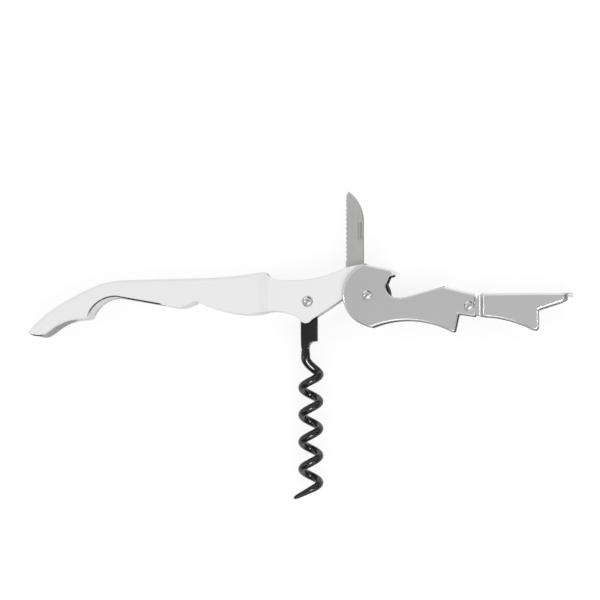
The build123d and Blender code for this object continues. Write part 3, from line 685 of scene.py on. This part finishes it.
past_end = number(wire, "MAXIMUM", number(wire, "SUBTRACT", turn, size["Turns"]), 0.0)
end_heading = heading(number(wire, "MULTIPLY", size["Turns"], 2 * math.pi))
point_length = number(wire, "MULTIPLY", past_end, size["Point Length"])
point_run = vector(wire, "SCALE", end_heading, point_length)
winding = vector(wire, "ADD", on_winding(wound), point_run)
print("winding written:", len(wire.nodes), "nodes")

# %% [markdown]
# ## The lead-in and the bend
# The wire leaves the shank straight down and swings out into the winding. Such a bend is a cubic curve: two
# end places, and a pull at each in the direction of the wire. A spline object could hold it, but its points
# would not share the count. Mixing the four points three times over gives the same curve inside the tree.

# %% The straight lead-in and the bend
BEND_PULL = 0.36
DOWN = (0, -1, 0)
bend_start = add(wire, "ShaderNodeCombineXYZ", {0: size["Lead Offset"], 1: size["Bend Drop"]}).outputs[0]
bend_end = add(wire, "ShaderNodeCombineXYZ", {0: size["Winding Radius"]}).outputs[0]
span = add(wire, "ShaderNodeVectorMath", {0: bend_start, 1: bend_end}, operation="DISTANCE")
pull = number(wire, "MULTIPLY", span.outputs["Value"], BEND_PULL)
leave = vector(wire, "ADD", bend_start, vector(wire, "SCALE", DOWN, pull))
arrive = vector(wire, "SUBTRACT", bend_end, vector(wire, "SCALE", heading(0.0), pull))
into_bend = number(wire, "ADD", turn, 1.0)
share = number(wire, "MINIMUM", number(wire, "MAXIMUM", into_bend, 0.0), 1.0)


def between(start, end):
    """The point that lies that share of the way from one place to the other."""
    return add(wire, "ShaderNodeMix", {0: share, 4: start, 5: end}, data_type="VECTOR").outputs[1]


first, second, third = between(bend_start, leave), between(leave, arrive), between(arrive, bend_end)
bend = between(between(first, second), between(second, third))
above = number(wire, "MINIMUM", into_bend, 0.0)
lead_run = vector(wire, "SCALE", DOWN, number(wire, "MULTIPLY", above, size["Lead Length"]))
lead_in = vector(wire, "ADD", bend, lead_run)
print("bend written:", len(wire.nodes), "nodes")

# %% [markdown]
# ## How thick the wire is
# The wire tapers to its point, slowly at first, and its very end is blunted like a ball. At the other end
# it was pressed: it widens a little towards the shank, and its hidden start inside the shank is thinner, so
# that it doesn't stand out of the flat. Each is a factor that changes along the count, and all are
# multiplied.

# %% The wire's radius along its way
TAPER_POWER = 2.0
BLUNT_FROM, BLUNT_TO = 0.9, 0.98


def eased(start, end, before, after):
    """A smooth change from one factor to another while the count goes from start to end."""
    change = {"Value": turn, "From Min": start, "From Max": end, "To Min": before, "To Max": after}
    return add(wire, "ShaderNodeMapRange", change, interpolation_type="SMOOTHSTEP").outputs[0]


slender = number(wire, "POWER", past_end, TAPER_POWER)
taper = add(wire, "ShaderNodeMix", {0: slender, 2: size["Wire Radius"], 3: size["Tip Radius"]})
nearing = add(wire, "ShaderNodeMapRange", {"Value": past_end, "From Min": BLUNT_FROM, "From Max": 1.0,
                                           "To Max": BLUNT_TO}).outputs[0]
squared = number(wire, "POWER", nearing, 2.0)
blunt = number(wire, "SQRT", number(wire, "SUBTRACT", 1.0, squared))
thin_start = eased(-2.0, -1.62, before=0.7, after=1.0)
widened = eased(-1.5, -0.6, before=1.14, after=1.0)
pointed = number(wire, "MULTIPLY", taper.outputs[0], blunt)
wire_radius = number(wire, "MULTIPLY", pointed, number(wire, "MULTIPLY", thin_start, widened))
print("radius written:", len(wire.nodes), "nodes")

# %% Sweep the wire
WIRE_SIDES = 28
is_lead = add(wire, "FunctionNodeCompare", {0: turn, 1: 0.0}, operation="LESS_THAN").outputs[0]
path = add(wire, "GeometryNodeSwitch", {"Switch": is_lead, "False": winding, "True": lead_in},
           input_type="VECTOR").outputs[0]
placed = add(wire, "GeometryNodeSetPosition",
             {"Geometry": resampled.outputs[0], "Position": vector(wire, "ADD", path, size["Place"])})
thick = add(wire, "GeometryNodeSetCurveRadius", {"Curve": placed.outputs[0], "Radius": wire_radius})
section = add(wire, "GeometryNodeCurvePrimitiveCircle", {"Resolution": WIRE_SIDES, "Radius": 1.0})
swept = add(wire, "GeometryNodeCurveToMesh",
            {"Curve": thick.outputs[0], "Profile Curve": section.outputs[0],
             "Scale": add(wire, "GeometryNodeInputRadius").outputs[0], "Fill Caps": True})
joined = add(wire, "GeometryNodeJoinGeometry")
wire.links.new(swept.outputs[0], joined.inputs[0])
wire.links.new(size["Shank"], joined.inputs[0])
real = add(wire, "GeometryNodeRealizeInstances", {0: joined.outputs[0]})
coated = add(wire, "GeometryNodeSetMaterial", {"Geometry": real.outputs[0], "Material": size["Finish"]})
wire.links.new(coated.outputs[0], worm_out.inputs[0])
print("worm tree:", len(wire.nodes), "nodes")

# %% Wind the worm
AXIS_X = 4.25
FIRST_TURN_Y = -10.49
WORM_SHARP = math.radians(40)


def run_tree(piece, tree, values):
    """Puts the tree on a piece, sets its inputs by identifier, and keeps the result as a plain mesh."""
    modifier = piece.modifiers.new(tree.name, "NODES")
    modifier.node_group = tree
    for item in tree.interface.items_tree:
        if item.in_out == "INPUT" and item.name in values:
            modifier[item.identifier] = values[item.name]
    scene_graph = bpy.context.evaluated_depsgraph_get()
    mesh = bpy.data.meshes.new_from_object(piece.evaluated_get(scene_graph))
    piece.modifiers.remove(modifier)
    piece.data = mesh
    mesh.name = piece.name


run_tree(worm_piece, wire, {
    "Place": (AXIS_X * MM, FIRST_TURN_Y * MM, MIDDLE), "Winding Radius": 3.0 * MM, "Pitch": 9.5 * MM,
    "Turns": 4.25, "Wire Radius": WIRE_RADIUS * MM, "Tip Radius": 0.65 * MM, "Point Length": 6.4 * MM,
    "Lead Length": 5.8 * MM, "Lead Offset": (WIRE_X - AXIS_X) * MM, "Bend Drop": 6.2 * MM,
    "Finish": black_coating})
worm_piece.data.shade_smooth()
worm_piece.data.set_sharp_from_angle(angle=WORM_SHARP)
settle(worm_piece, "worm", "black_coating", "worm")
print("worm:", len(worm_piece.data.polygons), "faces")

# %% [markdown]
# ## The rivets
# Three rivets carry the moving pieces: one for the worm, one for the first lever and one at the levers'
# hinge. Each end was spun over with a round tool, which leaves a low dome with a groove around it. All are
# the same turned shape with other lengths, so a small group turns one: a grid is rolled into a tube, and
# each of its rows gets a radius and a height from the rivet's section. The second half of the rows mirrors
# the first.

# %% Turn one rivet
DOME_ROWS = 6
ROWS = DOME_ROWS + 7
LAST_ROW = 2 * ROWS - 1
ROUND_POINTS = 57
turned, turned_in, turned_out = new_group(
    "turned_rivet", "GeometryNodeTree",
    [(label, "NodeSocketFloat") for label in ("Half Length", "Head Height", "Head Radius", "Pin Radius",
                                              "Dome Radius", "Dome Height", "Ease")],
    [("Rivet", "NodeSocketGeometry")])
part = turned_in.outputs
rolled = add(turned, "GeometryNodeMeshGrid", {"Size X": 1.0, "Size Y": 1.0, "Vertices X": ROUND_POINTS,
                                              "Vertices Y": LAST_ROW + 1})
grid_place = add(turned, "GeometryNodeInputPosition").outputs[0]
on_grid = add(turned, "ShaderNodeSeparateXYZ", {0: grid_place}).outputs
row_number = number(turned, "MULTIPLY", number(turned, "ADD", on_grid["Y"], 0.5), LAST_ROW)
far_half = add(turned, "FunctionNodeCompare", {0: row_number, 1: LAST_ROW / 2},
               operation="GREATER_THAN").outputs[0]
mirrored = number(turned, "SUBTRACT", LAST_ROW, row_number)
row = add(turned, "GeometryNodeSwitch", {"Switch": far_half, "False": row_number, "True": mirrored},
          input_type="FLOAT").outputs[0]
print("rivet tree started:", len(turned.nodes), "nodes")

# %% The rivet's section, row by row
DOME_POWER = 2.2
SOFT_SHARE = 0.3
eased_radius = number(turned, "SUBTRACT", part["Head Radius"], part["Ease"])
eased_top = number(turned, "SUBTRACT", part["Half Length"], part["Ease"])
soft_radius = number(turned, "MULTIPLY_ADD", part["Ease"], -SOFT_SHARE, part["Head Radius"])
soft_top = number(turned, "MULTIPLY_ADD", part["Ease"], -SOFT_SHARE, part["Half Length"])
shoulder = number(turned, "SUBTRACT", part["Half Length"], part["Head Height"])
radii, heights = [], []
for step in range(DOME_ROWS + 1):
    out = step / DOME_ROWS
    radii.append(number(turned, "MULTIPLY", part["Dome Radius"], out))
    fall = number(turned, "MULTIPLY", part["Dome Height"], out**DOME_POWER)
    heights.append(number(turned, "SUBTRACT", part["Half Length"], fall))
radii += [eased_radius, soft_radius, part["Head Radius"], part["Head Radius"]]
radii += [part["Pin Radius"], part["Pin Radius"]]
heights += [part["Half Length"], soft_top, eased_top, shoulder, shoulder, 0.0]
print("section rows:", len(radii))

# %% Roll the section up
def by_row(values):
    """The value of the section's row, picked by its number."""
    pick = add(turned, "GeometryNodeIndexSwitch", {"Index": row}, data_type="FLOAT")
    while len(pick.index_switch_items) < len(values):
        pick.index_switch_items.new()
    for index, value in enumerate(values):
        if isinstance(value, bpy.types.NodeSocket):
            turned.links.new(value, pick.inputs[index + 1])
        else:
            pick.inputs[index + 1].default_value = value
    return pick.outputs[0]


reach = by_row(radii)
level = by_row(heights)
height = add(turned, "GeometryNodeSwitch",
             {"Switch": far_half, "False": level, "True": number(turned, "MULTIPLY", level, -1.0)},
             input_type="FLOAT").outputs[0]
roll_angle = number(turned, "MULTIPLY", on_grid["X"], 2 * math.pi)
rolled_x = number(turned, "MULTIPLY", number(turned, "COSINE", roll_angle), reach)
rolled_y = number(turned, "MULTIPLY", number(turned, "SINE", roll_angle), reach)
rolled_to = add(turned, "ShaderNodeCombineXYZ", {0: rolled_x, 1: rolled_y, 2: height}).outputs[0]
formed = add(turned, "GeometryNodeSetPosition", {"Geometry": rolled.outputs[0], "Position": rolled_to})
closed = add(turned, "GeometryNodeMergeByDistance",
             {"Geometry": formed.outputs[0], "Distance": WELD_GAP * MM})
turned.links.new(closed.outputs[0], turned_out.inputs[0])
print("rivet tree:", len(turned.nodes), "nodes")

# %% [markdown]
# ## Set the rivets
# Each rivet has its body, the joint where it sits, half its length and the height of its head; the other
# sizes are shared. Placing three copies by hand would do, but a tree that picks an instance by a number on
# each point keeps one recipe for all. Realize Instances makes them real, because an export drops instances.

# %% Set the rivets on their points
RIVETS = {"worm_pin": ("handle", "worm", 4.6, 1.0), "lever_pin": ("handle", "lever", 6.3, 0.35),
          "hinge_pin": ("first_lever", "hinge", 6.3, 0.4)}
SHARED_SIZES = {"Head Radius": 1.75 * MM, "Pin Radius": 1.25 * MM, "Dome Radius": 1.2 * MM,
                "Dome Height": 0.3 * MM, "Ease": 0.15 * MM}
set_tree, set_in, set_out = new_group(
    "set_rivets", "GeometryNodeTree",
    [("Points", "NodeSocketGeometry"), *[(label, "NodeSocketFloat") for label in SHARED_SIZES],
     ("Finish", "NodeSocketMaterial")],
    [("Rivets", "NodeSocketGeometry")])
store = add(set_tree, "GeometryNodeJoinGeometry")
for *_, half_length, head_height in reversed(RIVETS.values()):
    sizes = {"Half Length": half_length * MM, "Head Height": head_height * MM}
    sizes.update({label: set_in.outputs[label] for label in SHARED_SIZES})
    one = add(set_tree, "GeometryNodeGroup", sizes, node_tree=turned)
    as_instance = add(set_tree, "GeometryNodeGeometryToInstance", {0: one.outputs[0]})
    set_tree.links.new(as_instance.outputs[0], store.inputs[0])
kind = add(set_tree, "GeometryNodeInputNamedAttribute", {"Name": "rivet_kind"}, data_type="INT")
set_on = add(set_tree, "GeometryNodeInstanceOnPoints",
             {"Points": set_in.outputs["Points"], "Instance": store.outputs[0], "Pick Instance": True,
              "Instance Index": kind.outputs[0]})
made_real = add(set_tree, "GeometryNodeRealizeInstances", {0: set_on.outputs[0]})
finished = add(set_tree, "GeometryNodeSetMaterial",
               {"Geometry": made_real.outputs[0], "Material": set_in.outputs["Finish"]})
set_tree.links.new(finished.outputs[0], set_out.inputs[0])
print("setting tree:", len(set_tree.nodes), "nodes")

# %% Make the rivets, one mesh for each body
RIVET_SHARP = math.radians(50)
for body in ("handle", "first_lever"):
    wanted = [(index, name) for index, name in enumerate(RIVETS) if RIVETS[name][0] == body]
    places = [PIN_AT[RIVETS[name][1]] for index, name in wanted]
    points = bpy.data.meshes.new(body + "_rivets")
    points.from_pydata([(x * MM, y * MM, MIDDLE) for x, y in places], [], [])
    kinds = points.attributes.new("rivet_kind", "INT", "POINT")
    kinds.data.foreach_set("value", [index for index, name in wanted])
    rivets = bpy.data.objects.new(body + "_rivets", points)
    put_in_scene(rivets)
    run_tree(rivets, set_tree, {**SHARED_SIZES, "Finish": pin_steel})
    outward(rivets.data)
    rivets.data.shade_smooth()
    rivets.data.set_sharp_from_angle(angle=RIVET_SHARP)
    settle(rivets, body, "pin_steel", *[name for index, name in wanted])
    print(rivets.name, len(rivets.data.polygons), "faces")

# %% [markdown]
# ## The table
# The photograph's ground is white with hardly a shadow. A white lit by lamps alone would need so much light
# that the tool would wash out, so the table gives out some white of its own, and more of it to the camera
# and in reflections. The rest is a plain diffuse surface, which keeps a faint shadow under the tool.

# %% Lay the table
TABLE_GLOW, SEEN_GLOW = 0.45, 0.36
TABLE_TONE = (0.24, 0.24, 0.24, 1)
TABLE_HALF = 2
TABLE_GAP = 0.05
table_finish = bpy.data.materials.new("table_white")
table_finish.use_nodes = True
table_tree = table_finish.node_tree
table_tree.nodes.clear()
ray = add(table_tree, "ShaderNodeLightPath").outputs
mirrored_ray = number(table_tree, "ADD", ray["Is Glossy Ray"], ray["Is Transmission Ray"])
seen = number(table_tree, "MINIMUM", 1.0, number(table_tree, "ADD", ray["Is Camera Ray"], mirrored_ray))
strength = number(table_tree, "MULTIPLY_ADD", seen, SEEN_GLOW, TABLE_GLOW)
glow = add(table_tree, "ShaderNodeEmission", {"Strength": strength})
matt = add(table_tree, "ShaderNodeBsdfDiffuse", {"Color": TABLE_TONE})
both = add(table_tree, "ShaderNodeAddShader", {0: glow.outputs[0], 1: matt.outputs[0]})
add(table_tree, "ShaderNodeOutputMaterial", {"Surface": both.outputs[0]})
table = bpy.data.objects.new("table", bpy.data.meshes.new("table"))
corners = [(-TABLE_HALF, -TABLE_HALF), (TABLE_HALF, -TABLE_HALF),
           (TABLE_HALF, TABLE_HALF), (-TABLE_HALF, TABLE_HALF)]
table.data.from_pydata([(x, y, -TABLE_GAP * MM) for x, y in corners], [], [(0, 1, 2, 3)])
table.data.materials.append(table_finish)
put_in_scene(table)
print("table laid")

# %% [markdown]
# ## The tent
# A product picture like this is taken in a white tent that is open towards the front. Steel shows only what
# it mirrors: the bright wall behind makes its faces light, and the dark opening draws dark lines along its
# edges. The tent is the world. Two colour ramps give its level by height, one for the wall behind and one
# for the front, and the direction of a ray mixes the two.

# %% Put up the tent
BACK_WALL = [(0.0, 0.75), (0.50, 0.88), (0.85, 0.82), (0.93, 0.40), (0.98, 0.50), (1.0, 0.53)]
FRONT_WALL = [(0.0, 0.10), (0.35, 0.10), (0.50, 0.20), (0.80, 0.40), (0.95, 0.50), (1.0, 0.53)]
FRONT = (0.45, -0.89)
WALLS_MEET = (-0.15, 0.25)
world = bpy.data.worlds.new("tent")
bpy.context.scene.world = world
world.use_nodes = True
tent = world.node_tree
ray_direction = add(tent, "ShaderNodeTexCoord").outputs["Generated"]
direction = add(tent, "ShaderNodeSeparateXYZ", {0: ray_direction}).outputs


def wall(stops):
    """The level of one wall, by the height of the ray's direction."""
    made = add(tent, "ShaderNodeValToRGB", {"Fac": direction["Z"]})
    elements = made.color_ramp.elements
    while len(elements) < len(stops):
        elements.new(0.5)
    for element, (position, brightness) in zip(elements, stops):
        element.position = position
        element.color = (brightness, brightness, brightness, 1)
    return made.outputs[0]


sideways = number(tent, "MULTIPLY", direction["Y"], FRONT[1])
towards = number(tent, "MULTIPLY_ADD", direction["X"], FRONT[0], sideways)
to_front = add(tent, "ShaderNodeMapRange", {"Value": towards, "From Min": WALLS_MEET[0],
                                            "From Max": WALLS_MEET[1]}).outputs[0]
tone = add(tent, "ShaderNodeMix", {0: to_front, 6: wall(BACK_WALL), 7: wall(FRONT_WALL)}, data_type="RGBA")
tent.links.new(tone.outputs[2], tent.nodes["Background"].inputs["Color"])
print("tent:", len(tent.nodes), "nodes")

# %% [markdown]
# ## The lamps
# One large soft lamp stands to the right of the front, and a thin strip on the left and on the right draws
# light lines along rounded edges. A small lamp gives the rivets their glints. The worm's coating is so dark
# that it shows only by what it mirrors, and a lamp bright enough for that is likely to be too much for white
# paint. So one more lamp lights the worm alone: a light can be linked to the objects that it reaches.

# %% Set up the lamps
LAMPS = {"key": ((0.40, -0.75, 0.78), (1.40, 1.00), 6.8),
         "left strip": ((-0.75, 0.0, 0.66), (0.03, 0.50), 0.6),
         "right strip": ((0.75, 0.0, 0.62), (0.03, 0.50), 0.4),
         "glint": ((0.20, -0.30, 0.93), (0.10, 0.06), 0.45),
         "worm glint": ((0.20, -0.30, 0.93), (0.40, 0.22), 7.0)}
for name, (stand_at, spread, power) in LAMPS.items():
    lamp = bpy.data.lights.new(name, "AREA")
    lamp.shape = "RECTANGLE"
    lamp.size, lamp.size_y = spread
    lamp.energy = power
    softbox = bpy.data.objects.new(name, lamp)
    softbox.location = stand_at
    softbox.rotation_euler = (-softbox.location).to_track_quat("-Z", "Y").to_euler()
    put_in_scene(softbox)
only_worm = bpy.data.collections.new("only_worm")
only_worm.objects.link(worm_piece)
bpy.data.objects["worm glint"].light_linking.receiver_collection = only_worm
print("lamps:", ", ".join(LAMPS))

# %% [markdown]
# ## Camera
# The photograph looks almost straight down on the tool, a few degrees from its front end and a little from
# below. The lens is long, so the two sides hardly differ in size. The picture is 600 by 600 points, and the
# lens is given by its focal length in those points. The camera aims at the place in the picture's middle.

# %% Set the camera
PICTURE_WIDTH, FOCAL_LENGTH = 600, 2428.6
SENSOR_WIDTH = 36
CAMERA_DISTANCE = 0.85
FROM_FRONT_END, FROM_BELOW = math.radians(7), math.radians(3)
target = Vector((1.136, 15.584, 12.3)) * MM
back = Vector((math.sin(FROM_FRONT_END), -math.sin(FROM_BELOW), 0))
back.z = math.sqrt(1 - back.x**2 - back.y**2)
right = (-back).cross(Vector((0, 1, 0))).normalized()
up = right.cross(-back)
camera = bpy.data.objects.new("camera", bpy.data.cameras.new("camera"))
camera.data.sensor_width = SENSOR_WIDTH
camera.data.lens = FOCAL_LENGTH / PICTURE_WIDTH * SENSOR_WIDTH
camera.data.clip_start = 0.01
stand = Matrix((right, up, back)).transposed().to_4x4()
stand.translation = target + back * CAMERA_DISTANCE
camera.matrix_world = stand
put_in_scene(camera)
bpy.context.scene.camera = camera
bpy.context.scene.view_settings.view_transform = "Standard"
print("camera at", tuple(round(c, 3) for c in stand.translation))
